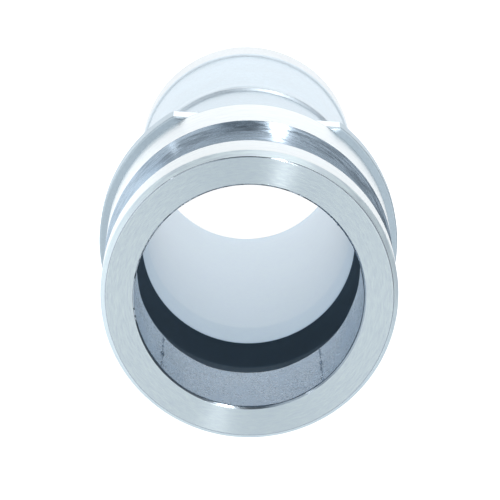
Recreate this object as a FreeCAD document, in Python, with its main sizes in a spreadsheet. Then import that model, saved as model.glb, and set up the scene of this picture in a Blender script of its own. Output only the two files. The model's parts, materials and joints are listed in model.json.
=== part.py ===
import FreeCAD
import Part
import Sketcher
import math
import os

# Camlock hose shank adapter: one casting with turned surfaces. Millimetres.
# The axis is +Z. The tail of the shank stands on the plane Z = 0, and the mouth
# that seals in the coupler faces up. The wrench flats face +Y and -Y.

doc = FreeCAD.newDocument("hose_shank_adapter")
sheet = doc.addObject("Spreadsheet::Sheet", "sizes")

# Driving sizes, each settable by itself
driving_sizes = [
    ("overall_length", 138.0),
    ("adapter_diameter", 63.0),
    ("lead_in_depth", 1.1),
    ("lead_in_length", 1.8),
    ("front_collar_length", 10.8),
    ("groove_width", 19.0),
    ("groove_depth", 4.5),
    ("rear_collar_length", 16.2),
    ("flange_step", 1.7),
    ("flange_thickness", 7.0),
    ("flange_flare", 0.3),
    ("flange_edge_chamfer", 0.9),
    ("shank_diameter", 50.0),
    ("shank_root_chamfer", 1.5),
    ("flat_ledge", 2.5),
    ("barb_height", 0.85),
    ("barb_shoulder_length", 1.4),
    ("barb_taper_length", 8.0),
    ("barb_from_flange", 35.2),
    ("tail_bead_length", 9.8),
    ("tail_chamfer", 0.5),
    ("groove_wall", 2.7),
    ("mouth_depth", 25.3),
    ("mouth_chamfer", 0.3),
    ("relief_wall", 4.2),
    ("relief_run_out", 5.7),
    ("relief_floor_length", 9.0),
    ("relief_run_in", 7.4),
    ("throat_wall", 1.3),
    ("throat_taper_length", 12.0),
    ("tail_wall", 2.0),
    ("collar_chamfer", 0.3),
]
for row, (alias, value) in enumerate(driving_sizes, start=1):
    sheet.set(f"A{row}", alias)
    sheet.set(f"B{row}", str(value))
    sheet.setAlias(f"B{row}", alias)
doc.recompute()

# Radii, worked out from the driving sizes
adapter_radius = "sizes.adapter_diameter / 2"
face_radius = f"{adapter_radius} - sizes.lead_in_depth"
flange_radius = f"{adapter_radius} + sizes.flange_step"
shank_radius = "sizes.shank_diameter / 2"
flat_distance = f"{shank_radius} + sizes.flat_ledge"
barb_radius = f"{shank_radius} + sizes.barb_height"
barb_root_radius = f"{shank_radius} - sizes.barb_height"
mouth_radius = f"{adapter_radius} - sizes.groove_depth - sizes.groove_wall"
relief_radius = f"{adapter_radius} - sizes.relief_wall"
throat_radius = f"{shank_radius} - sizes.throat_wall"
tail_bore_radius = f"{shank_radius} - sizes.tail_wall"
flat_outer_reach = f"2 * ({flange_radius})"

# Heights above the tail, counted down from the mouth face
face_height = "sizes.overall_length"
lead_in_height = f"{face_height} - sizes.lead_in_length"
groove_front_height = f"{face_height} - sizes.front_collar_length"
groove_middle_height = f"{groove_front_height} - sizes.groove_width / 2"
groove_rear_height = f"{groove_front_height} - sizes.groove_width"
flange_front_height = f"{groove_rear_height} - sizes.rear_collar_length"
flange_rear_height = f"{flange_front_height} - sizes.flange_thickness"
flare_top_height = f"{flange_front_height} + 2 * sizes.flange_flare"
mouth_floor_height = f"{face_height} - sizes.mouth_depth"
relief_front_height = f"{mouth_floor_height} - sizes.relief_run_out"
relief_rear_height = f"{relief_front_height} - sizes.relief_floor_length"
throat_height = f"{relief_rear_height} - sizes.relief_run_in"
throat_end_height = f"{throat_height} - sizes.throat_taper_length"
barb_top_height = f"{flange_rear_height} - sizes.barb_from_flange"
barb_crest_height = f"{barb_top_height} - sizes.barb_shoulder_length"
barb_end_height = f"{barb_crest_height} - sizes.barb_taper_length"
bead_crest_height = "sizes.tail_bead_length - sizes.barb_shoulder_length"

# The cam groove is an arc with its chord on the collars
groove_arc_radius = "((sizes.groove_width / 2)^2 + sizes.groove_depth^2) / (2 * sizes.groove_depth)"
groove_centre_radius = f"{adapter_radius} - sizes.groove_depth + {groove_arc_radius}"

# The ledge behind the flats is shared by the shank's root and the flange's edge
root_chamfer = "min(sizes.shank_root_chamfer; 0.6 * sizes.flat_ledge)"
edge_chamfer = "min(sizes.flange_edge_chamfer; 0.36 * sizes.flat_ledge)"
front_edge_chamfer = "min(sizes.flange_edge_chamfer; 0.5 * sizes.flange_step)"

body = doc.addObject("PartDesign::Body", "Body")
body.Label = "hose_shank_adapter"


def length_of(expression):
    # Millimetres that an expression over the driving sizes gives
    return float(sheet.evalExpression(expression))


def origin_feature(role):
    for feature in body.Origin.OriginFeatures:
        if feature.Role == role:
            return feature
    raise RuntimeError(f"the body has no {role}")


def sketch_on(name, role):
    sketch = body.newObject("Sketcher::SketchObject", name)
    sketch.AttachmentSupport = (origin_feature(role), [""])
    sketch.MapMode = "FlatFace"
    return sketch


def drive(sketch, kind, name, expression, *where):
    # A dimension whose value follows an expression over the sheet
    number = sketch.addConstraint(Sketcher.Constraint(kind, *where, length_of(expression)))
    sketch.renameConstraint(number, name)
    sketch.setExpression(f"Constraints.{name}", expression)


def place_point(sketch, geometry, point, name, x, y):
    # A point is held by its distances from the origin, or lies on an axis where one is 0
    if x == "0":
        sketch.addConstraint(Sketcher.Constraint("PointOnObject", geometry, point, -2))
    else:
        drive(sketch, "DistanceX", f"across_{name}", x, -1, 1, geometry, point)
    if y == "0":
        sketch.addConstraint(Sketcher.Constraint("PointOnObject", geometry, point, -1))
    else:
        drive(sketch, "DistanceY", f"along_{name}", y, -1, 1, geometry, point)


def closed_outline(sketch, corners):
    places = [FreeCAD.Vector(length_of(x), length_of(y), 0) for x, y in corners]
    for start, end in zip(places, places[1:] + places[:1]):
        sketch.addGeometry(Part.LineSegment(start, end), False)
    for line in range(len(corners)):
        following = (line + 1) % len(corners)
        sketch.addConstraint(Sketcher.Constraint("Coincident", line, 2, following, 1))
    for line, (x, y) in enumerate(corners):
        place_point(sketch, line, 1, str(line + 1), x, y)


def check_volume(feature, volume_before, adds):
    # A cut that misses the solid raises no error, so the volumes are compared
    change = body.Shape.Volume - volume_before
    if (adds and change <= 0) or (not adds and change >= 0):
        raise RuntimeError(f"{feature.Name} left the volume as it was")


def turn(name, sketch, adds):
    volume_before = 0 if body.Shape.isNull() else body.Shape.Volume
    feature = body.newObject("PartDesign::Revolution" if adds else "PartDesign::Groove", name)
    feature.Profile = sketch
    feature.ReferenceAxis = (sketch, ["V_Axis"])
    feature.Angle = 360.0
    doc.recompute()
    check_volume(feature, volume_before, adds)


def turned_section(name, corners, adds=True):
    sketch = sketch_on(f"{name}_section", "XZ_Plane")
    closed_outline(sketch, corners)
    turn(name, sketch, adds)


def ring_edges(radius, height):
    # Circular edges about the axis, of one radius at one height
    wanted_radius = length_of(radius)
    wanted_height = length_of(height)
    names = []
    for number, edge in enumerate(body.Shape.Edges, start=1):
        curve = edge.Curve
        if isinstance(curve, Part.Circle) and math.hypot(curve.Center.x, curve.Center.y) < 1e-4:
            if abs(curve.Radius - wanted_radius) < 1e-4 and abs(curve.Center.z - wanted_height) < 1e-4:
                names.append(f"Edge{number}")
    return names


def level_edges(height):
    # Every edge that lies in one level plane
    wanted_height = length_of(height)
    names = []
    for number, edge in enumerate(body.Shape.Edges, start=1):
        if edge.BoundBox.ZLength < 1e-4 and abs(edge.BoundBox.ZMin - wanted_height) < 1e-4:
            names.append(f"Edge{number}")
    return names


def dress(kind, name, edges, size_property, size):
    base = body.Tip
    feature = body.newObject(f"PartDesign::{kind}", name)
    feature.Base = (base, edges)
    feature.setExpression(size_property, size)
    doc.recompute()


def flange_with_flats():
    # The wrench flange flares into the rear collar, and both flats cut the flare too
    turned_section("flange", [
        ("0", flange_rear_height),
        (flange_radius, flange_rear_height),
        (flange_radius, flange_front_height),
        (adapter_radius, flange_front_height),
        (adapter_radius, flare_top_height),
        ("0", flare_top_height),
    ])
    dress("Fillet", "flange_flare_round", ring_edges(adapter_radius, flange_front_height),
          "Radius", "sizes.flange_flare")
    volume_before = body.Shape.Volume
    outline = sketch_on("flat_outline", "XY_Plane")
    closed_outline(outline, [
        (f"-({flange_radius})", flat_distance),
        (flange_radius, flat_distance),
        (flange_radius, flat_outer_reach),
        (f"-({flange_radius})", flat_outer_reach),
    ])
    flat = body.newObject("PartDesign::Pocket", "wrench_flat")
    flat.Profile = outline
    flat.Type = "ThroughAll"
    flat.SideType = "Symmetric"
    doc.recompute()
    check_volume(flat, volume_before, adds=False)
    opposite = body.newObject("PartDesign::Mirrored", "opposite_flat")
    opposite.Originals = [flat]
    opposite.MirrorPlane = (origin_feature("XZ_Plane"), [""])
    body.Tip = opposite
    doc.recompute()
    dress("Chamfer", "flange_rear_edge", level_edges(flange_rear_height), "Size", edge_chamfer)
    dress("Chamfer", "flange_front_edge", ring_edges(flange_radius, flange_front_height),
          "Size", front_edge_chamfer)


def collars_and_shank():
    # Two collars of one diameter stand before the flange, and the plain shank behind it
    turned_section("collars_and_shank", [
        ("0", "0"),
        (shank_radius, "0"),
        (shank_radius, flange_front_height),
        (adapter_radius, flange_front_height),
        (adapter_radius, lead_in_height),
        (face_radius, face_height),
        ("0", face_height),
    ])


def hose_barbs():
    # The shoulder of each ridge faces the flange, so that the hose can't slip off
    turned_section("barb", [
        (barb_root_radius, barb_top_height),
        (shank_radius, barb_top_height),
        (barb_radius, barb_crest_height),
        (shank_radius, barb_end_height),
        (barb_root_radius, barb_end_height),
    ])
    turned_section("tail_bead", [
        (barb_root_radius, "0"),
        (barb_radius, "0"),
        (barb_radius, bead_crest_height),
        (shank_radius, "sizes.tail_bead_length"),
        (barb_root_radius, "sizes.tail_bead_length"),
    ])


def cam_groove():
    # The coupler's cam arms close into this groove between the collars
    section = sketch_on("cam_groove_section", "XZ_Plane")
    centre = FreeCAD.Vector(length_of(groove_centre_radius), length_of(groove_middle_height), 0)
    arc_radius = length_of(groove_arc_radius)
    section.addGeometry(Part.Circle(centre, FreeCAD.Vector(0, 0, 1), arc_radius), False)
    place_point(section, 0, 3, "centre", groove_centre_radius, groove_middle_height)
    drive(section, "Radius", "arc", groove_arc_radius, 0)
    turn("cam_groove", section, adds=False)


def bore():
    # The bore widens behind the mouth to keep an even wall, and narrows to the shank
    turned_section("bore", [
        ("0", "0"),
        (tail_bore_radius, "0"),
        (tail_bore_radius, throat_end_height),
        (throat_radius, throat_height),
        (relief_radius, relief_rear_height),
        (relief_radius, relief_front_height),
        (mouth_radius, mouth_floor_height),
        (mouth_radius, face_height),
        ("0", face_height),
    ], adds=False)


def edge_finish():
    dress("Chamfer", "shank_root", ring_edges(shank_radius, flange_rear_height), "Size", root_chamfer)
    collar_edges = ring_edges(adapter_radius, lead_in_height)
    collar_edges += ring_edges(adapter_radius, groove_front_height)
    collar_edges += ring_edges(adapter_radius, groove_rear_height)
    dress("Chamfer", "collar_edges", collar_edges, "Size", "sizes.collar_chamfer")
    dress("Chamfer", "mouth_edge", ring_edges(mouth_radius, face_height), "Size", "sizes.mouth_chamfer")
    dress("Chamfer", "tail_edge", ring_edges(barb_radius, "0"), "Size", "sizes.tail_chamfer")


flange_with_flats()
collars_and_shank()
hose_barbs()
cam_groove()
bore()
edge_finish()
doc.recompute()

for item in doc.Objects:
    if "Invalid" in item.State or "Error" in item.State:
        raise RuntimeError(f"{item.Name} did not compute: {item.State}")
if body.Shape.isNull() or not body.Shape.isValid() or len(body.Shape.Solids) != 1:
    raise RuntimeError("the adapter is not one sound solid")

os.makedirs("parts", exist_ok=True)
body.Shape.exportStep(os.path.join("parts", f"{body.Label}.step"))
box = body.Shape.BoundBox
print(f"{body.Label}: {box.XLength:.2f} x {box.YLength:.2f} x {box.ZLength:.2f} mm,",
      f"{body.Shape.Volume / 1000:.1f} cm3, {len(body.Shape.Faces)} faces")
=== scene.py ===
import bpy
import json
import math
from mathutils import Matrix, Vector

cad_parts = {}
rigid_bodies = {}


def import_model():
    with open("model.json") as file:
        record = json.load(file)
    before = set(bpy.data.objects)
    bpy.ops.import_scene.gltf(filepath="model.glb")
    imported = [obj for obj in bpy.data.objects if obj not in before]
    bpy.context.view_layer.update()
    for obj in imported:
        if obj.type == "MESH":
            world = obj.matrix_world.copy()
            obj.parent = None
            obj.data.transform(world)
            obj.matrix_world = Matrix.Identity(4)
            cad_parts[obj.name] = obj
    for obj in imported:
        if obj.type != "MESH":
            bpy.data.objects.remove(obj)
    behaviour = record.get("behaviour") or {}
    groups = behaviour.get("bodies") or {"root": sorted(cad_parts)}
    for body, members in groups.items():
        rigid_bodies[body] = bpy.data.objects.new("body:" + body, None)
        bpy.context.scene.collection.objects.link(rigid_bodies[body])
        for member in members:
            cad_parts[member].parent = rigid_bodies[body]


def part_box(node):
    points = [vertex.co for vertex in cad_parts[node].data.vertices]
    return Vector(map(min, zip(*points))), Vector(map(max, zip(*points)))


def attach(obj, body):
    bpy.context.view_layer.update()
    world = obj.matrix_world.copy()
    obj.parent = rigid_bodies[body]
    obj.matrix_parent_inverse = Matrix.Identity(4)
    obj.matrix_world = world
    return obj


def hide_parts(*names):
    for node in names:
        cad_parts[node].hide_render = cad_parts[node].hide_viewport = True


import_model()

# Camlock hose shank adapter: one steel casting, turned at its mouth end.
# Metres, +Z up, standing on the tail of its shank with the mouth on top.

scene = bpy.context.scene
collection = scene.collection
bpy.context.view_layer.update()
adapterNode = "hose_shank_adapter"
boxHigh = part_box(adapterNode)[1]
mm = 0.001

# Sizes in mm. Most lengths count back from the mouth face, and the bead's from the tail.
form = {
    "length": boxHigh.z / mm,
    "faceRadius": 30.4,
    "edgeBreak": 0.21,
    "edgeBreakOutside": 0.6,  # share of the broken edge that lies outside the face
    "leadIn": 1.8,
    "leadInRound": 0.3,
    "collarRadius": boxHigh.y / mm,
    "frontCollar": 10.8,
    "rearCollar": 16.2,
    "grooveWidth": 19.0,
    "grooveDepth": 4.5,
    "grooveSteps": 24,
    "grooveFrontRound": 0.25,
    "grooveRearRound": 0.15,
    "grooveRunIn": 2.4,  # a row of points this far behind the groove keeps the collar straight
    "footBand": 0.1,  # height of the collar's last band, which meets the flange
    "flangeRadius": boxHigh.x / mm,
    "flangeThickness": 7.0,
    "flangeRearRound": 1.3,
    "flangeFrontRound": 0.35,
    "flangeRootRound": 1.5,
    "flangeSlope": 0.35,
    "flangeLipShare": 0.76,  # share of the slope that is left where the lip's round ends
    "flatDistance": 27.5,
    "shankRadius": 25.0,
    "rootRound": 0.4,
    "barbFromFlange": 36.4,
    "barbHeight": 0.85,
    "barbShoulder": 0.7,
    "barbCrestRound": 0.35,
    "barbFacet": 0.75,  # share of the shoulder below the bright facet of the crest
    "barbTaper": 8.0,
    "taperBlend": 6.0,
    "beadLength": 9.8,
    "beadHeight": 0.6,
    "beadShoulder": 0.45,
    "beadCrestRound": 1.3,
    "tailOuterRound": 0.3,
    "tailInnerRound": 0.2,
    "mouthRadius": 24.3,
    "mouthDepth": 25.3,
    "mouthChamfer": 0.38,
    "mouthStraight": 1.2,  # below the face, where the chamfer's own rows end
    "reliefRadius": 27.3,
    "reliefEdgeRound": 2.5,
    "reliefRunOut": 5.7,
    "reliefFloor": 9.0,
    "reliefRunIn": 7.4,
    "reliefRound": 1.5,
    "throatRadius": 23.7,
    "throatRound": 0.8,
    "throatTaper": 10.0,
    "tailRadius": 23.0,
    "tailBlend": 8.0,
    "seamGap": 0.05,  # keeps a plain corner just clear of the round beside it
    "columns": 360,
    "flatColumns": 0.62,  # share of each quarter's columns that lies before the flat's corner
    "boreUnevenness": 0.2,
    "castUnevenness": 0.05,
}
# The flat's finish has to follow the flange side's
finishes = ["face", "leadIn", "collar", "groove", "flange", "flangeSide", "flangeFlat", "shank",
            "barbCrest", "mouthBore", "relief", "passage", "faceEdge", "mouthEdge", "tailRim"]


def newSocket(tree, name, kind, default=None, way="INPUT"):
    socket = tree.interface.new_socket(name=name, in_out=way, socket_type=kind)
    if default is not None:
        socket.default_value = default


def connect(tree, source, target):
    # A target takes either a link or a plain value
    if isinstance(source, bpy.types.NodeSocket):
        tree.links.new(source, target)
    elif source is not None:
        target.default_value = source


def mathNode(tree, operation, first, second=None, third=None):
    node = tree.nodes.new("ShaderNodeMath")
    node.operation = operation
    for socket, value in zip(node.inputs, (first, second, third)):
        connect(tree, value, socket)
    return node.outputs[0]


def rangeNode(tree, value, fromLow, fromHigh, toLow=0.0, toHigh=1.0, smooth=False):
    node = tree.nodes.new("ShaderNodeMapRange")
    if smooth:
        node.interpolation_type = "SMOOTHSTEP"
    for name, entry in (("Value", value), ("From Min", fromLow), ("From Max", fromHigh),
                        ("To Min", toLow), ("To Max", toHigh)):
        connect(tree, entry, node.inputs[name])
    return node.outputs[0]


def vectorFrom(tree, x, y, z):
    node = tree.nodes.new("ShaderNodeCombineXYZ")
    for socket, value in zip(node.inputs, (x, y, z)):
        connect(tree, value, socket)
    return node.outputs[0]


def noiseNode(tree, vector, scale=1.0, detail=2.0, roughness=0.5):
    node = tree.nodes.new("ShaderNodeTexNoise")
    connect(tree, vector, node.inputs["Vector"])
    node.inputs["Scale"].default_value = scale
    node.inputs["Detail"].default_value = detail
    node.inputs["Roughness"].default_value = roughness
    return node.outputs[0]


# The section of the casting, walked up the outside and back down the bore

def roundedSection(corners):
    # Each corner is radius, height, round and finish; a round becomes a short arc
    nearlyStraight = math.radians(88.5)
    smallRound = 0.35
    points = []
    for i, (r, z, size, finish) in enumerate(corners):
        here = Vector((r, z))
        toBefore = (Vector(corners[i - 1][:2]) - here).normalized()
        toAfter = (Vector(corners[(i + 1) % len(corners)][:2]) - here).normalized()
        halfAngle = toBefore.angle(toAfter) / 2
        if size <= 0 or halfAngle > nearlyStraight:
            points.append((r, z, finish))
            continue
        reach = size / math.tan(halfAngle)
        start = here + toBefore * reach
        end = here + toAfter * reach
        centre = here + (toBefore + toAfter).normalized() * (size / math.sin(halfAngle))
        sweep = (start - centre).angle_signed(end - centre)
        stepAngle = math.radians(22 if size > smallRound else 34)
        steps = max(2, math.ceil(abs(sweep) / stepAngle))
        for k in range(steps + 1):
            arm = start - centre
            arm.rotate(Matrix.Rotation(-sweep * k / steps, 2))
            points.append((centre.x + arm.x, centre.y + arm.y, finish))
    return points


def divided(points, longest=5.0, edge=0.06):
    # Close rows beside each edge keep the flat stretches flat when they are shaded smooth
    result = []
    for i, (r, z, finish) in enumerate(points):
        result.append((r, z, finish))
        r2, z2, following = points[(i + 1) % len(points)]
        length = math.hypot(r2 - r, z2 - z)
        if length < 8 * edge:  # too short to divide
            continue
        parts = int(length // longest)
        shares = [edge / length] + [k / (parts + 1) for k in range(1, parts + 1)] + [1 - edge / length]
        for share in shares:
            result.append((r + (r2 - r) * share, z + (z2 - z) * share, finish))
    return result


def adapterSection():
    f = form
    top = f["length"]
    grooveTop = top - f["frontCollar"]
    grooveEnd = grooveTop - f["grooveWidth"]
    flangeTop = grooveEnd - f["rearCollar"]
    flangeBottom = flangeTop - f["flangeThickness"]
    lipRadius = f["flangeRadius"] - f["flangeFrontRound"] - f["seamGap"]
    barbTop = flangeBottom - f["barbFromFlange"]
    barbRidge = barbTop - f["barbShoulder"]
    barbCrest = f["shankRadius"] + f["barbHeight"]
    facetRadius = barbCrest - (1 - f["barbFacet"]) * f["barbHeight"]
    beadCrest = f["shankRadius"] + f["beadHeight"]
    beadRidge = f["beadLength"] - f["beadShoulder"]
    mouthFloor = top - f["mouthDepth"]
    reliefTop = mouthFloor - f["reliefRunOut"]
    reliefEnd = reliefTop - f["reliefFloor"]
    throat = reliefEnd - f["reliefRunIn"]
    half = f["grooveWidth"] / 2
    arcRadius = (half ** 2 + f["grooveDepth"] ** 2) / (2 * f["grooveDepth"])
    arcCentre = f["collarRadius"] - f["grooveDepth"] + arcRadius
    arcHalfAngle = math.asin(half / arcRadius)
    outside = [
        (f["tailRadius"], 0, f["tailInnerRound"], "tailRim"),
        (beadCrest, 0, f["tailOuterRound"], "tailRim"),
        (beadCrest, beadRidge - f["beadCrestRound"], 0, "tailRim"),
        (beadCrest, beadRidge, f["beadCrestRound"], "shank"),
        (f["shankRadius"], f["beadLength"], f["rootRound"], "shank"),
        (f["shankRadius"], barbRidge - f["barbTaper"], f["taperBlend"], "shank"),
        (barbCrest, barbRidge, f["barbCrestRound"], "barbCrest"),
        (facetRadius, barbTop - f["barbFacet"] * f["barbShoulder"], 0, "shank"),
        (f["shankRadius"], barbTop, f["rootRound"], "shank"),
        (f["shankRadius"], flangeBottom, f["flangeRootRound"], "shank"),
        (f["shankRadius"] + f["flangeRootRound"] + f["seamGap"], flangeBottom, 0, "flangeRear"),
        (f["flangeRadius"], flangeBottom, f["flangeRearRound"], "flangeSide"),
        (f["flangeRadius"], flangeTop - f["flangeSlope"], f["flangeFrontRound"], "flangeLip"),
        (lipRadius, flangeTop - f["flangeLipShare"] * f["flangeSlope"], 0, "flangeFront"),
        (f["collarRadius"], flangeTop, 0, "collarFoot"),
        (f["collarRadius"], flangeTop + f["footBand"], 0, "collar"),
        (f["collarRadius"], grooveEnd - f["grooveRunIn"], 0, "collar"),
        (f["collarRadius"], grooveEnd, f["grooveRearRound"], "groove"),
    ]
    groove = []
    for k in range(1, f["grooveSteps"]):
        angle = -arcHalfAngle + 2 * arcHalfAngle * k / f["grooveSteps"]
        groove.append((arcCentre - arcRadius * math.cos(angle),
                       grooveEnd + half + arcRadius * math.sin(angle), 0, "groove"))
    breakOutside = f["edgeBreakOutside"] * f["edgeBreak"]
    breakInside = (1 - f["edgeBreakOutside"]) * f["edgeBreak"]
    mouth = [
        (f["collarRadius"], grooveTop, f["grooveFrontRound"], "collar"),
        (f["collarRadius"], top - f["leadIn"], f["leadInRound"], "leadIn"),
        (f["faceRadius"] + breakOutside, top - f["edgeBreak"], 0, "faceEdge"),
        (f["faceRadius"] - breakInside, top, 0, "face"),
        (f["mouthRadius"] + f["mouthChamfer"], top, 0, "mouthEdge"),
        (f["mouthRadius"], top - f["mouthChamfer"], 0, "chamferEnd"),
        (f["mouthRadius"], top - f["mouthStraight"], 0, "mouthBore"),
        (f["mouthRadius"], mouthFloor, f["reliefEdgeRound"], "mouthBore"),
        (f["reliefRadius"], reliefTop, f["reliefRound"], "relief"),
        (f["reliefRadius"], reliefEnd, f["reliefRound"], "relief"),
        (f["throatRadius"], throat, f["throatRound"], "passage"),
        (f["tailRadius"], throat - f["throatTaper"], f["tailBlend"], "passage"),
    ]
    return divided(roundedSection(outside + groove + mouth))


def sectionMesh():
    # Point attributes tell the tree where flats, unevenness and the mouth's chamfer apply
    f = form
    unlimited = 1.0
    section = adapterSection()
    mesh = bpy.data.meshes.new("adapterSection")
    edges = [(i, (i + 1) % len(section)) for i in range(len(section))]
    mesh.from_pydata([(r * mm, 0, z * mm) for r, z, finish in section], edges, [])
    slotOf = {"flangeRear": "flange", "flangeLip": "flangeSide", "flangeFront": "flange",
              "collarFoot": "flange", "chamferEnd": "mouthBore"}
    # How far the flats' own edges are rounded, for the rows of the flange
    flatRound = {"flangeRear": f["flangeRearRound"], "flangeSide": f["flangeRearRound"],
                 "flangeLip": f["flangeFrontRound"], "flangeFront": f["flangeFrontRound"],
                 "collarFoot": f["flangeFrontRound"]}
    collarRows = ("flangeFront", "collarFoot")
    chamferRows = f["mouthChamfer"] + 0.1
    roughRows = {"chamferEnd": f["boreUnevenness"], "mouthBore": f["boreUnevenness"],
                 "shank": f["castUnevenness"], "tailRim": f["castUnevenness"]}
    limits, leasts, uneven, chamfer, slots = [], [], [], [], []
    for r, z, finish in section:
        inset = min(max(f["flangeRadius"] - r, 0), flatRound.get(finish, 0))
        limits.append((f["flatDistance"] - inset) * mm if finish in flatRound else unlimited)
        leasts.append(min(r, f["collarRadius"]) * mm if finish in collarRows else 0.0)
        uneven.append(roughRows.get(finish, 0) * mm)
        chamfer.append(1.0 if finish == "chamferEnd" and f["length"] - z < chamferRows else 0.0)
        slots.append(finishes.index(slotOf.get(finish, finish)))
    for name, kind, values in (("flatLimit", "FLOAT", limits), ("leastRadius", "FLOAT", leasts),
                               ("unevenness", "FLOAT", uneven), ("chamferEnd", "FLOAT", chamfer),
                               ("finish", "INT", slots)):
        mesh.attributes.new(name, kind, "POINT").data.foreach_set("value", values)
    return mesh, len(section)


# Waves of the cast skin: noise scales, their weights, and the side that the core sat towards
castWaves = {
    "heightScale": 14.0,
    "broadScale": 2.2,
    "broadWeight": 2.6,
    "fineScale": 9.0,
    "fineWeight": 0.3,
    "asideAngle": 125,  # degrees
    "asideWeight": -1.0,
    "middle": 1.45,
}


def unevennessGroup():
    # How far the cast surface strays from round at an angle and height, as a share of the unevenness
    c = castWaves
    tree = bpy.data.node_groups.new("castUnevenness", "GeometryNodeTree")
    newSocket(tree, "Angle", "NodeSocketFloat")
    newSocket(tree, "Height", "NodeSocketFloat")
    newSocket(tree, "Offset", "NodeSocketFloat", way="OUTPUT")
    given = tree.nodes.new("NodeGroupInput")
    result = tree.nodes.new("NodeGroupOutput")
    place = vectorFrom(tree, mathNode(tree, "COSINE", given.outputs["Angle"]),
                       mathNode(tree, "SINE", given.outputs["Angle"]),
                       mathNode(tree, "MULTIPLY", given.outputs["Height"], c["heightScale"]))
    broad = noiseNode(tree, place, c["broadScale"], 1.0)
    fine = noiseNode(tree, place, c["fineScale"], 1.0)
    both = mathNode(tree, "ADD", mathNode(tree, "MULTIPLY", broad, c["broadWeight"]),
                    mathNode(tree, "MULTIPLY", fine, c["fineWeight"]))
    # The core sat a little to one side, so the bore is tighter on the side of this angle
    asideAngle = math.radians(c["asideAngle"])
    aside = mathNode(tree, "COSINE", mathNode(tree, "SUBTRACT", given.outputs["Angle"], asideAngle))
    shifted = mathNode(tree, "MULTIPLY_ADD", aside, c["asideWeight"], both)
    tree.links.new(mathNode(tree, "SUBTRACT", shifted, c["middle"]), result.inputs[0])
    return tree


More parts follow.
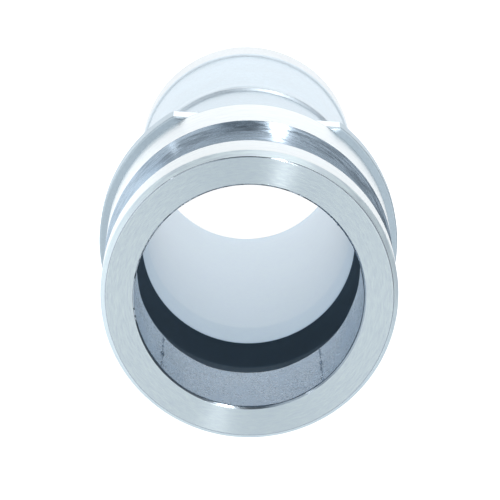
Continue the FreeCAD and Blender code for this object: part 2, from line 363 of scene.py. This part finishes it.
def turnedBodyTree(materials, unevennessTree):
    # Turns the section about the axis, then cuts the flats and roughens the cast rows
    leastChamfer = 0.00004
    flatTolerance = 0.00002
    mergeDistance = 0.000002
    tree = bpy.data.node_groups.new("turnedBody", "GeometryNodeTree")
    nodes = tree.nodes
    links = tree.links
    newSocket(tree, "Section", "NodeSocketGeometry")
    newSocket(tree, "Rows", "NodeSocketInt", 100)
    newSocket(tree, "Columns", "NodeSocketInt", 360)
    newSocket(tree, "Flat Corner Angle", "NodeSocketFloat", 1.0)
    newSocket(tree, "Flat Corner Column", "NodeSocketFloat", 0.62)
    newSocket(tree, "Mouth Radius", "NodeSocketFloat", 0.024)
    newSocket(tree, "Mouth Chamfer", "NodeSocketFloat", 0.0003)
    newSocket(tree, "Flat Distance", "NodeSocketFloat", 0.0275)
    newSocket(tree, "Body", "NodeSocketGeometry", way="OUTPUT")
    given = nodes.new("NodeGroupInput")
    (section, rows, columns, cornerAngle, cornerColumn,
     mouthRadius, mouthChamfer, flatDistance) = given.outputs[:8]
    grid = nodes.new("GeometryNodeMeshGrid")
    links.new(mathNode(tree, "ADD", columns, 1.0), grid.inputs["Vertices X"])
    links.new(mathNode(tree, "ADD", rows, 1.0), grid.inputs["Vertices Y"])
    index = nodes.new("GeometryNodeInputIndex").outputs[0]
    stride = mathNode(tree, "ADD", rows, 1.0)
    row = mathNode(tree, "MODULO", mathNode(tree, "MODULO", index, stride), rows)
    column = mathNode(tree, "FLOOR", mathNode(tree, "DIVIDE", mathNode(tree, "ADD", index, 0.5), stride))

    def sampled(name, at, kind="FLOAT"):
        node = nodes.new("GeometryNodeSampleIndex")
        node.data_type = kind
        if name == "position":
            value = nodes.new("GeometryNodeInputPosition").outputs[0]
        else:
            attribute = nodes.new("GeometryNodeInputNamedAttribute")
            attribute.data_type = kind
            attribute.inputs["Name"].default_value = name
            value = attribute.outputs["Attribute"]
        links.new(section, node.inputs["Geometry"])
        links.new(value, node.inputs["Value"])
        links.new(at, node.inputs["Index"])
        return node.outputs[0]

    # Even columns, shifted a little so that one falls on each corner of the flats
    quarter = mathNode(tree, "DIVIDE", mathNode(tree, "MULTIPLY", column, 4.0), columns)
    whole = mathNode(tree, "FLOOR", mathNode(tree, "ADD", quarter, 0.0005))
    part = mathNode(tree, "SUBTRACT", quarter, whole)
    odd = mathNode(tree, "MODULO", whole, 2.0)
    mirrored = mathNode(tree, "ABSOLUTE", mathNode(tree, "SUBTRACT", odd, part))
    below = rangeNode(tree, mirrored, 0.0, cornerColumn, 0.0, cornerAngle)
    above = rangeNode(tree, mirrored, cornerColumn, 1.0, 0.0,
                      mathNode(tree, "SUBTRACT", math.pi / 2, cornerAngle))
    within = mathNode(tree, "ADD", below, above)
    turned = mathNode(tree, "ABSOLUTE", mathNode(tree, "SUBTRACT",
                                                 mathNode(tree, "MULTIPLY", odd, math.pi / 2), within))
    angle = mathNode(tree, "ADD", mathNode(tree, "MULTIPLY", whole, math.pi / 2), turned)

    place = nodes.new("ShaderNodeSeparateXYZ")
    links.new(sampled("position", row, "FLOAT_VECTOR"), place.inputs[0])
    radius, height = place.outputs[0], place.outputs[2]
    across = mathNode(tree, "MAXIMUM", mathNode(tree, "ABSOLUTE", mathNode(tree, "SINE", angle)), 0.001)
    flat = mathNode(tree, "DIVIDE", sampled("flatLimit", row), across)
    reach = mathNode(tree, "MAXIMUM", mathNode(tree, "MINIMUM", radius, flat), sampled("leastRadius", row))
    stray = nodes.new("GeometryNodeGroup")
    stray.node_tree = unevennessTree
    links.new(angle, stray.inputs["Angle"])
    links.new(height, stray.inputs["Height"])
    reach = mathNode(tree, "MULTIPLY_ADD", stray.outputs[0], sampled("unevenness", row), reach)
    # The chamfer's lower edge climbs or sinks where the cast bore is wide or narrow
    chamferDrop = mathNode(tree, "MAXIMUM", mathNode(tree, "SUBTRACT", mouthRadius, reach), leastChamfer)
    moved = mathNode(tree, "MULTIPLY", mathNode(tree, "SUBTRACT", mouthChamfer, chamferDrop),
                     sampled("chamferEnd", row))
    put = nodes.new("GeometryNodeSetPosition")
    links.new(grid.outputs["Mesh"], put.inputs["Geometry"])
    links.new(vectorFrom(tree, mathNode(tree, "MULTIPLY", reach, mathNode(tree, "COSINE", angle)),
                         mathNode(tree, "MULTIPLY", reach, mathNode(tree, "SINE", angle)),
                         mathNode(tree, "ADD", height, moved)), put.inputs["Position"])
    store = nodes.new("GeometryNodeStoreNamedAttribute")
    store.data_type = "INT"
    store.domain = "FACE"
    store.inputs["Name"].default_value = "finish"
    links.new(put.outputs[0], store.inputs["Geometry"])
    # On the flats the flange's side takes the next finish of the list, the flat's own
    turnedFinish = sampled("finish", mathNode(tree, "MODULO", index, rows), "INT")
    onSide = mathNode(tree, "COMPARE", turnedFinish, float(finishes.index("flangeSide")), 0.5)
    spot = nodes.new("ShaderNodeSeparateXYZ")
    links.new(nodes.new("GeometryNodeInputPosition").outputs[0], spot.inputs[0])
    sideways = mathNode(tree, "ABSOLUTE", spot.outputs[1])
    onFlat = mathNode(tree, "GREATER_THAN", sideways,
                      mathNode(tree, "SUBTRACT", flatDistance, flatTolerance))
    links.new(mathNode(tree, "MULTIPLY_ADD", onSide, onFlat, turnedFinish), store.inputs["Value"])
    merge = nodes.new("GeometryNodeMergeByDistance")
    merge.inputs["Distance"].default_value = mergeDistance
    links.new(store.outputs[0], merge.inputs["Geometry"])
    smooth = nodes.new("GeometryNodeSetShadeSmooth")
    links.new(merge.outputs[0], smooth.inputs["Geometry"])
    realize = nodes.new("GeometryNodeRealizeInstances")
    links.new(smooth.outputs[0], realize.inputs[0])
    geometry = realize.outputs[0]
    finishHere = nodes.new("GeometryNodeInputNamedAttribute")
    finishHere.data_type = "INT"
    finishHere.inputs["Name"].default_value = "finish"
    for slot, material in enumerate(materials):
        same = nodes.new("FunctionNodeCompare")
        same.data_type = "INT"
        same.operation = "EQUAL"
        links.new(finishHere.outputs["Attribute"], same.inputs[2])
        same.inputs[3].default_value = slot
        paint = nodes.new("GeometryNodeSetMaterial")
        paint.inputs["Material"].default_value = material
        links.new(geometry, paint.inputs["Geometry"])
        links.new(same.outputs[0], paint.inputs["Selection"])
        geometry = paint.outputs[0]
    result = nodes.new("NodeGroupOutput")
    links.new(geometry, result.inputs[0])
    return tree


def grown(name, mesh, tree, values):
    # The tree's result as a plain mesh piece
    maker = bpy.data.objects.new(name + "Maker", mesh)
    collection.objects.link(maker)
    modifier = maker.modifiers.new("tree", "NODES")
    modifier.node_group = tree
    for item in tree.interface.items_tree:
        if item.in_out == "INPUT" and item.name in values:
            modifier[item.identifier] = values[item.name]
    evaluated = maker.evaluated_get(bpy.context.evaluated_depsgraph_get())
    result = bpy.data.meshes.new_from_object(evaluated)
    result.name = name
    bpy.data.objects.remove(maker)
    piece = bpy.data.objects.new(name, result)
    collection.objects.link(piece)
    return piece


# Finishes of the metal, some with painted shade or a painted highlight in their colour. Pull is how far
# turning draws the shine out; rings, length and grain are the pattern's sizes in metres; relief and depth
# set its bump; spread widens the change of tone and roughness.
metal = {
    "face": {"colour": (0.87, 0.95, 1.0), "rough": 0.24, "pull": 1.0, "rings": 0.0003, "length": 0.0018,
             "relief": 0.05, "spread": 0.55},
    "leadIn": {"colour": (0.84, 0.92, 0.98), "rough": 0.60, "pull": 0.30, "rings": 0.0006, "relief": 0.2},
    "collar": {"colour": (0.90, 0.95, 0.98), "rough": 0.33, "pull": 0.60, "rings": 0.0008, "relief": 0.06},
    # The groove's colour is darker than the collar's steel: painted shade in the groove.
    "groove": {"colour": (0.60, 0.712, 0.822), "rough": 0.25, "pull": 0.93, "rings": 0.0009,
               "relief": 0.12, "spread": 2},
    "flange": {"colour": (0.505, 0.595, 0.66), "rough": 0.34, "grain": 0.0006, "relief": 0.25},
    "flangeSide": {"colour": (0.60, 0.69, 0.75), "rough": 0.50, "grain": 0.0006, "relief": 0.8},
    "flangeFlat": {"colour": (0.84, 0.90, 0.93), "rough": 0.24, "grain": 0.0008, "relief": 0.1},
    "shank": {"colour": (0.685, 0.765, 0.825), "rough": 0.45, "grain": 0.0007, "relief": 0.35},
    # The barb crest's colour is lighter than the shank's: a painted highlight on the crest.
    "barbCrest": {"colour": (0.80, 0.87, 0.92), "rough": 0.32, "grain": 0.0007, "relief": 0.35},
    "mouthBore": {"colour": (0.50, 0.595, 0.70), "rough": 0.28, "grain": 0.0006, "relief": 1.0,
                  "depth": 0.0002, "spread": 3},
    # The relief's colour is far darker than the bore's steel: painted shade in the recess.
    "relief": {"colour": (0.18, 0.235, 0.285), "rough": 0.6, "grain": 0.0008, "relief": 0.5},
    "passage": {"colour": (0.80, 0.90, 1.0), "rough": 0.42, "grain": 0.0012, "relief": 0.25, "spread": 0.3},
    # The face edge's colour is darker than the face's steel: painted shade, the thin dark line round the
    # face.
    "faceEdge": {"colour": (0.52, 0.58, 0.64), "rough": 0.10, "grain": 0.0008, "relief": 0.1},
    # The mouth edge's colour is darker than the bore's steel: painted shade, the thin dark line round the
    # mouth's chamfer.
    "mouthEdge": {"colour": (0.54, 0.62, 0.69), "rough": 0.18, "grain": 0.0008, "relief": 0.3},
    "tailRim": {"colour": (0.76, 0.79, 0.81), "rough": 0.45, "grain": 0.0007, "relief": 0.35},
}


def turnedRingsGroup():
    # Tool marks: fine rings about the axis, drawn out along their own circle
    tree = bpy.data.node_groups.new("turnedRings", "ShaderNodeTree")
    newSocket(tree, "Pitch", "NodeSocketFloat", 0.0005)
    newSocket(tree, "Length", "NodeSocketFloat", 0.005)
    newSocket(tree, "Tone", "NodeSocketFloat", way="OUTPUT")
    newSocket(tree, "Height", "NodeSocketFloat", way="OUTPUT")
    given = tree.nodes.new("NodeGroupInput")
    result = tree.nodes.new("NodeGroupOutput")
    place = tree.nodes.new("ShaderNodeSeparateXYZ")
    tree.links.new(tree.nodes.new("ShaderNodeTexCoord").outputs["Object"], place.inputs[0])
    x, y, z = place.outputs
    radius = mathNode(tree, "SQRT", mathNode(tree, "ADD", mathNode(tree, "MULTIPLY", x, x),
                                             mathNode(tree, "MULTIPLY", y, y)))
    along = mathNode(tree, "DIVIDE", mathNode(tree, "SUBTRACT", z, radius), given.outputs["Pitch"])
    length = given.outputs["Length"]
    drawn = vectorFrom(tree, along, mathNode(tree, "DIVIDE", x, length),
                       mathNode(tree, "DIVIDE", y, length))
    tree.links.new(noiseNode(tree, drawn, 1.0, 3.0, 0.6), result.inputs["Tone"])
    tree.links.new(noiseNode(tree, drawn, 1.7, 2.0, 0.6), result.inputs["Height"])
    return tree


def castGrainGroup():
    # Blasted casting skin: fine grain over slow clouds
    tree = bpy.data.node_groups.new("castGrain", "ShaderNodeTree")
    newSocket(tree, "Size", "NodeSocketFloat", 0.0007)
    newSocket(tree, "Tone", "NodeSocketFloat", way="OUTPUT")
    newSocket(tree, "Height", "NodeSocketFloat", way="OUTPUT")
    given = tree.nodes.new("NodeGroupInput")
    result = tree.nodes.new("NodeGroupOutput")
    place = tree.nodes.new("ShaderNodeVectorMath")
    place.operation = "SCALE"
    tree.links.new(tree.nodes.new("ShaderNodeTexCoord").outputs["Object"], place.inputs[0])
    tree.links.new(mathNode(tree, "DIVIDE", 1.0, given.outputs["Size"]), place.inputs["Scale"])
    grain = noiseNode(tree, place.outputs[0], 1.0, 3.0, 0.6)
    clouds = noiseNode(tree, place.outputs[0], 0.07, 2.0, 0.5)
    tone = mathNode(tree, "ADD", mathNode(tree, "MULTIPLY", grain, 0.6),
                    mathNode(tree, "MULTIPLY", clouds, 0.4))
    tree.links.new(tone, result.inputs["Tone"])
    tree.links.new(grain, result.inputs["Height"])
    return tree


def newMaterial(name):
    material = bpy.data.materials.new(name)
    material.use_nodes = True
    return material, material.node_tree, material.node_tree.nodes["Principled BSDF"]


def metalMaterials():
    # Tones of the pattern from low to high darken, lighten and roughen a finish by these shares
    lowTone = 0.3
    highTone = 0.7
    darker = 0.1
    lighter = 0.06
    rougher = 0.15
    rings = turnedRingsGroup()
    grain = castGrainGroup()
    made = []
    for finish in finishes:
        look = metal[finish]
        material, tree, shader = newMaterial(finish + "Steel")
        pattern = tree.nodes.new("ShaderNodeGroup")
        pattern.node_tree = rings if "rings" in look else grain
        pattern.inputs[0].default_value = look.get("rings", look.get("grain"))
        if "length" in look:
            pattern.inputs["Length"].default_value = look["length"]
        colours = tree.nodes.new("ShaderNodeValToRGB")
        spread = look.get("spread", 1)
        dark, pale = colours.color_ramp.elements
        dark.position = lowTone
        pale.position = highTone
        dark.color = [(1 - darker * spread) * share for share in look["colour"]] + [1]
        pale.color = [min((1 + lighter * spread) * share, 0.98) for share in look["colour"]] + [1]
        tree.links.new(pattern.outputs["Tone"], colours.inputs["Fac"])
        tree.links.new(colours.outputs["Color"], shader.inputs["Base Color"])
        rough = rangeNode(tree, pattern.outputs["Tone"], lowTone, highTone,
                          look["rough"] * (1 - rougher * spread), look["rough"] * (1 + rougher * spread))
        tree.links.new(rough, shader.inputs["Roughness"])
        bump = tree.nodes.new("ShaderNodeBump")
        bump.inputs["Strength"].default_value = look["relief"]
        bump.inputs["Distance"].default_value = look.get("depth", 0.00005)
        tree.links.new(pattern.outputs["Height"], bump.inputs["Height"])
        tree.links.new(bump.outputs["Normal"], shader.inputs["Normal"])
        shader.inputs["Metallic"].default_value = 1
        if "pull" in look:
            shader.inputs["Anisotropic"].default_value = look["pull"]
            shader.inputs["Anisotropic Rotation"].default_value = 0.25
            tangent = tree.nodes.new("ShaderNodeTangent")
            tangent.direction_type = "RADIAL"
            tangent.axis = "Z"
            tree.links.new(tangent.outputs["Tangent"], shader.inputs["Tangent"])
        made.append(material)
    return made


materials = metalMaterials()
print("materials:", len(materials))


def makeAdapterBody():
    f = form
    mesh, rows = sectionMesh()
    tree = turnedBodyTree(materials, unevenness)
    body = grown("adapterBody", mesh, tree, {
        "Rows": rows,
        "Columns": f["columns"],
        "Flat Corner Angle": math.asin(f["flatDistance"] / f["flangeRadius"]),
        "Flat Corner Column": f["flatColumns"],
        "Mouth Radius": (f["mouthRadius"] + f["mouthChamfer"]) * mm,
        "Mouth Chamfer": f["mouthChamfer"] * mm,
        "Flat Distance": f["flatDistance"] * mm,
    })
    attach(body, "root")
    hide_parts(adapterNode)
    print("adapter body:", rows, "rows,", len(body.data.polygons), "faces")


unevenness = unevennessGroup()
makeAdapterBody()

# Seams that the four-part core left in the mouth, as rows of small beads. Sizes in mm, angles in degrees.
coreSeam = {
    "seams": 4,
    "beads": 48,
    "firstAngle": 133.8,
    "beadRadius": 0.17,
    "leastBead": 0.35,  # most beads are small and a few are large
    "beadSpread": 1.9,
    "beadRareness": 4.0,
    "stretch": (0.1, 0.9),  # how much longer than wide a bead may be
    "start": 113.2,
    "end": 137.4,
    "heightScatter": 0.15,
    "angleScatter": 0.002,  # radians
    "sway": 0.35,
    "swayScale": 300.0,
    "seed": 7,
}


def seamBeadTree(material, unevennessTree):
    s = coreSeam
    tree = bpy.data.node_groups.new("seamBeads", "GeometryNodeTree")
    nodes = tree.nodes
    links = tree.links
    newSocket(tree, "Geometry", "NodeSocketGeometry")
    for name, kind in (("Seams", "NodeSocketInt"), ("Beads", "NodeSocketInt"), ("Seed", "NodeSocketInt"),
                       ("First Angle", "NodeSocketFloat"), ("Bead Radius", "NodeSocketFloat"),
                       ("Start", "NodeSocketFloat"), ("End", "NodeSocketFloat"),
                       ("Sway", "NodeSocketFloat"), ("Bore Radius", "NodeSocketFloat"),
                       ("Unevenness", "NodeSocketFloat")):
        newSocket(tree, name, kind)
    newSocket(tree, "Beads", "NodeSocketGeometry", way="OUTPUT")
    given = nodes.new("NodeGroupInput")
    beads = given.outputs["Beads"]
    line = nodes.new("GeometryNodeMeshLine")
    links.new(mathNode(tree, "MULTIPLY", given.outputs["Seams"], beads), line.inputs["Count"])
    index = nodes.new("GeometryNodeInputIndex").outputs[0]
    seam = mathNode(tree, "FLOOR", mathNode(tree, "DIVIDE", mathNode(tree, "ADD", index, 0.5), beads))
    share = mathNode(tree, "DIVIDE", mathNode(tree, "MODULO", index, beads), beads)

    def chance(low, high, offset):
        node = nodes.new("FunctionNodeRandomValue")
        node.inputs[2].default_value = low
        node.inputs[3].default_value = high
        links.new(mathNode(tree, "ADD", given.outputs["Seed"], float(offset)), node.inputs["Seed"])
        return node.outputs[1]

    even = rangeNode(tree, share, 0.0, 1.0, given.outputs["Start"], given.outputs["End"])
    heightScatter = s["heightScatter"] * mm
    height = mathNode(tree, "ADD", even, chance(-heightScatter, heightScatter, 1))
    straight = mathNode(tree, "MULTIPLY_ADD", seam, math.pi / 2, given.outputs["First Angle"])
    wander = noiseNode(tree, vectorFrom(tree, mathNode(tree, "MULTIPLY", seam, 5.0), 0.0,
                                        mathNode(tree, "MULTIPLY", height, s["swayScale"])), 1.0, 2.0)
    swayed = mathNode(tree, "MULTIPLY", mathNode(tree, "SUBTRACT", wander, 0.5), given.outputs["Sway"])
    scattered = mathNode(tree, "ADD", swayed, chance(-s["angleScatter"], s["angleScatter"], 2))
    angle = mathNode(tree, "ADD", straight, scattered)
    stray = nodes.new("GeometryNodeGroup")
    stray.node_tree = unevennessTree
    links.new(angle, stray.inputs["Angle"])
    links.new(height, stray.inputs["Height"])
    reach = mathNode(tree, "MULTIPLY_ADD", stray.outputs[0], given.outputs["Unevenness"],
                     given.outputs["Bore Radius"])
    put = nodes.new("GeometryNodeSetPosition")
    links.new(line.outputs[0], put.inputs["Geometry"])
    links.new(vectorFrom(tree, mathNode(tree, "MULTIPLY", reach, mathNode(tree, "COSINE", angle)),
                         mathNode(tree, "MULTIPLY", reach, mathNode(tree, "SINE", angle)), height),
              put.inputs["Position"])
    bead = nodes.new("GeometryNodeMeshIcoSphere")
    bead.inputs["Subdivisions"].default_value = 2
    links.new(given.outputs["Bead Radius"], bead.inputs["Radius"])
    spread = nodes.new("GeometryNodeInstanceOnPoints")
    links.new(put.outputs[0], spread.inputs["Points"])
    links.new(bead.outputs["Mesh"], spread.inputs["Instance"])
    rare = mathNode(tree, "POWER", chance(0.0, 1.0, 3), s["beadRareness"])
    across = mathNode(tree, "MULTIPLY_ADD", rare, s["beadSpread"], s["leastBead"])
    along = mathNode(tree, "ADD", across, chance(*s["stretch"], 4))
    links.new(vectorFrom(tree, across, across, along), spread.inputs["Scale"])
    smooth = nodes.new("GeometryNodeSetShadeSmooth")
    links.new(spread.outputs[0], smooth.inputs[0])
    realize = nodes.new("GeometryNodeRealizeInstances")
    links.new(smooth.outputs[0], realize.inputs[0])
    paint = nodes.new("GeometryNodeSetMaterial")
    paint.inputs["Material"].default_value = material
    links.new(realize.outputs[0], paint.inputs["Geometry"])
    result = nodes.new("NodeGroupOutput")
    links.new(paint.outputs[0], result.inputs[0])
    return tree


def makeCoreSeams():
    s = coreSeam
    mesh = bpy.data.meshes.new("seamStart")
    tree = seamBeadTree(materials[finishes.index("mouthBore")], unevenness)
    seams = grown("coreSeams", mesh, tree, {
        "Seams": s["seams"],
        "Beads": s["beads"],
        "Seed": s["seed"],
        "First Angle": math.radians(s["firstAngle"]),
        "Bead Radius": s["beadRadius"] * mm,
        "Start": s["start"] * mm,
        "End": s["end"] * mm,
        "Sway": math.radians(s["sway"]) * 2,
        "Bore Radius": form["mouthRadius"] * mm,
        "Unevenness": form["boreUnevenness"] * mm,
    })
    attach(seams, "root")
    print("core seams:", len(seams.data.polygons), "faces")


makeCoreSeams()

# Camera of the photograph: distances in metres, angles in degrees
photo = {
    "focalPixels": 3702,
    "frameWidth": 500,
    "sensor": 36,
    "distance": 0.780,
    "faceRight": -0.00011,
    "faceUp": -0.00999,
    "tilt": 14.7,
    "roll": 1.2,
    "flatTurn": 5.06,
}


def placeCamera():
    data = bpy.data.cameras.new("photoCamera")
    data.sensor_width = photo["sensor"]
    data.lens = photo["sensor"] * photo["focalPixels"] / photo["frameWidth"]
    data.clip_end = 20
    camera = bpy.data.objects.new("photoCamera", data)
    collection.objects.link(camera)
    turn = (Matrix.Rotation(math.radians(180 + photo["flatTurn"]), 4, "Z")
            @ Matrix.Rotation(math.radians(-photo["tilt"]), 4, "X")
            @ Matrix.Rotation(math.radians(-photo["roll"]), 4, "Z"))
    faceInView = Vector((photo["faceRight"], photo["faceUp"], -photo["distance"]))
    faceCentre = Vector((0, 0, form["length"] * mm))
    camera.matrix_world = Matrix.Translation(faceCentre + turn @ -faceInView) @ turn
    scene.camera = camera


placeCamera()
print("camera:", photo["distance"], "m from the mouth face")

# The studio. Directions count clockwise from the top of the photograph, seen from above.
# Each patch of light: direction, where it starts and is full, its brightness and how high it begins.
studio = {
    "floorSize": 8.0,
    "floorWhite": 0.98,
    "floorShade": 0.5,
    "nearTone": 0.85,
    "nearReach": 0.09,
    "farReach": 0.135,
    "roomTones": [(0.0, 0.08), (0.42, 0.08), (0.62, 0.44), (0.85, 0.53), (1.0, 0.53)],
    "patches": [(-95, 0.55, 0.90, 0.80, -1), (180, 0.10, 0.50, 0.46, -1), (180, 0.10, 0.50, 0.86, 0.2),
                (90, 0.05, 0.35, 1.0, 0.24), (-90, 0.05, 0.35, 1.0, 0.13)],
    "patchEdge": 0.25,
    "roomColours": [(0.0, (0, 0, 0)), (0.16, (0.118, 0.141, 0.168)), (0.58, (0.508, 0.566, 0.618)),
                    (1.0, (0.95, 0.98, 1.0))],
}


def direction(azimuth, elevation=0):
    a = math.radians(azimuth - photo["flatTurn"])
    e = math.radians(elevation)
    return Vector((-math.sin(a) * math.cos(e), -math.cos(a) * math.cos(e), math.sin(e)))


def roomToneGroup():
    # The room's light in a direction: dark low down, pale high up, with the patches on top
    tree = bpy.data.node_groups.new("roomTone", "ShaderNodeTree")
    newSocket(tree, "Direction", "NodeSocketVector")
    newSocket(tree, "Tone", "NodeSocketColor", way="OUTPUT")
    given = tree.nodes.new("NodeGroupInput")
    result = tree.nodes.new("NodeGroupOutput")
    split = tree.nodes.new("ShaderNodeSeparateXYZ")
    tree.links.new(given.outputs[0], split.inputs[0])
    ramp = tree.nodes.new("ShaderNodeValToRGB")
    stops = ramp.color_ramp.elements
    while len(stops) < len(studio["roomTones"]):
        stops.new(1)
    for stop, (height, tone) in zip(stops, studio["roomTones"]):
        stop.position = height
        stop.color = (tone, tone, tone, 1)
    tree.links.new(split.outputs[2], ramp.inputs["Fac"])
    tone = ramp.outputs["Color"]
    for azimuth, start, full, level, lowest in studio["patches"]:
        towards = tree.nodes.new("ShaderNodeVectorMath")
        towards.operation = "DOT_PRODUCT"
        towards.inputs[1].default_value = direction(azimuth)
        tree.links.new(given.outputs[0], towards.inputs[0])
        share = rangeNode(tree, towards.outputs["Value"], start, full, 0.0, level, smooth=True)
        above = rangeNode(tree, split.outputs[2], lowest, lowest + studio["patchEdge"], smooth=True)
        tone = mathNode(tree, "MAXIMUM", tone, mathNode(tree, "MULTIPLY", share, above))
    colours = tree.nodes.new("ShaderNodeValToRGB")
    stops = colours.color_ramp.elements
    while len(stops) < len(studio["roomColours"]):
        stops.new(1)
    for stop, (level, colour) in zip(stops, studio["roomColours"]):
        stop.position = level
        stop.color = colour + (1,)
    tree.links.new(tone, colours.inputs["Fac"])
    tree.links.new(colours.outputs["Color"], result.inputs[0])
    return tree


def colourMix(tree, factor, first, second):
    node = tree.nodes.new("ShaderNodeMix")
    node.data_type = "RGBA"
    connect(tree, factor, node.inputs[0])
    connect(tree, first, node.inputs[6])
    connect(tree, second, node.inputs[7])
    return node.outputs[2]


def studioFloor(roomTone):
    half = studio["floorSize"] / 2
    corners = [(-half, -half, 0), (half, -half, 0), (half, half, 0), (-half, half, 0)]
    mesh = bpy.data.meshes.new("floor")
    mesh.from_pydata(corners, [], [(0, 1, 2, 3)])
    floor = bpy.data.objects.new("floor", mesh)
    collection.objects.link(floor)
    material, tree, shader = newMaterial("floorWhite")
    shade = studio["floorShade"]
    shader.inputs["Base Color"].default_value = (shade, shade, shade, 1)
    shader.inputs["Roughness"].default_value = 0.9
    shader.inputs["Specular IOR Level"].default_value = 0
    place = tree.nodes.new("ShaderNodeTexCoord").outputs["Object"]
    distance = tree.nodes.new("ShaderNodeVectorMath")
    distance.operation = "LENGTH"
    tree.links.new(place, distance.inputs[0])
    away = rangeNode(tree, distance.outputs["Value"], studio["nearReach"], studio["farReach"], smooth=True)
    seenFrom = tree.nodes.new("ShaderNodeVectorMath")
    seenFrom.operation = "NORMALIZE"
    tree.links.new(place, seenFrom.inputs[0])
    room = tree.nodes.new("ShaderNodeGroup")
    room.node_tree = roomTone
    tree.links.new(seenFrom.outputs[0], room.inputs[0])
    nearTone = studio["nearTone"]
    inShine = colourMix(tree, away, (nearTone, nearTone, nearTone, 1), room.outputs[0])
    paths = tree.nodes.new("ShaderNodeLightPath")
    toCamera = paths.outputs["Is Camera Ray"]
    white = studio["floorWhite"]
    shown = colourMix(tree, toCamera, inShine, (white, white, white, 1))
    tree.links.new(shown, shader.inputs["Emission Color"])
    seen = mathNode(tree, "MAXIMUM", toCamera, paths.outputs["Is Glossy Ray"])
    tree.links.new(seen, shader.inputs["Emission Strength"])
    mesh.materials.append(material)


def studioWorld(roomTone):
    world = bpy.data.worlds.new("studio")
    world.use_nodes = True
    scene.world = world
    tree = world.node_tree
    room = tree.nodes.new("ShaderNodeGroup")
    room.node_tree = roomTone
    tree.links.new(tree.nodes.new("ShaderNodeTexCoord").outputs["Generated"], room.inputs[0])
    paths = tree.nodes.new("ShaderNodeLightPath")
    seen = colourMix(tree, paths.outputs["Is Camera Ray"], room.outputs[0], (1, 1, 1, 1))
    tree.links.new(seen, tree.nodes["Background"].inputs["Color"])


# Lamps: direction, height above the horizon in degrees, distance, width, height, watts
lamps = {
    "keyBox": (17, 20, 0.9, 0.085, 0.7, 2.1),
    "sideStrip": (-39, 12, 0.9, 0.012, 0.4, 0.07),
    "streakTop": (25.8, 62, 0.9, 0.02, 0.3, 0.42),
}


def softLamps():
    # The lamps point at the axis, at the height of the rear collar
    target = Vector((0, 0, 0.1))
    for name, (azimuth, elevation, distance, width, height, power) in lamps.items():
        data = bpy.data.lights.new(name, "AREA")
        data.shape = "RECTANGLE"
        data.size = width
        data.size_y = height
        data.energy = power
        lamp = bpy.data.objects.new(name, data)
        collection.objects.link(lamp)
        towards = direction(azimuth, elevation)
        lamp.location = target + towards * distance
        lamp.rotation_euler = (-towards).to_track_quat("-Z", "Y").to_euler()
        lamp.visible_camera = False


roomTone = roomToneGroup()
studioFloor(roomTone)
studioWorld(roomTone)
softLamps()
print("studio:", len(lamps), "lamps")

scene.view_settings.view_transform = "Standard"
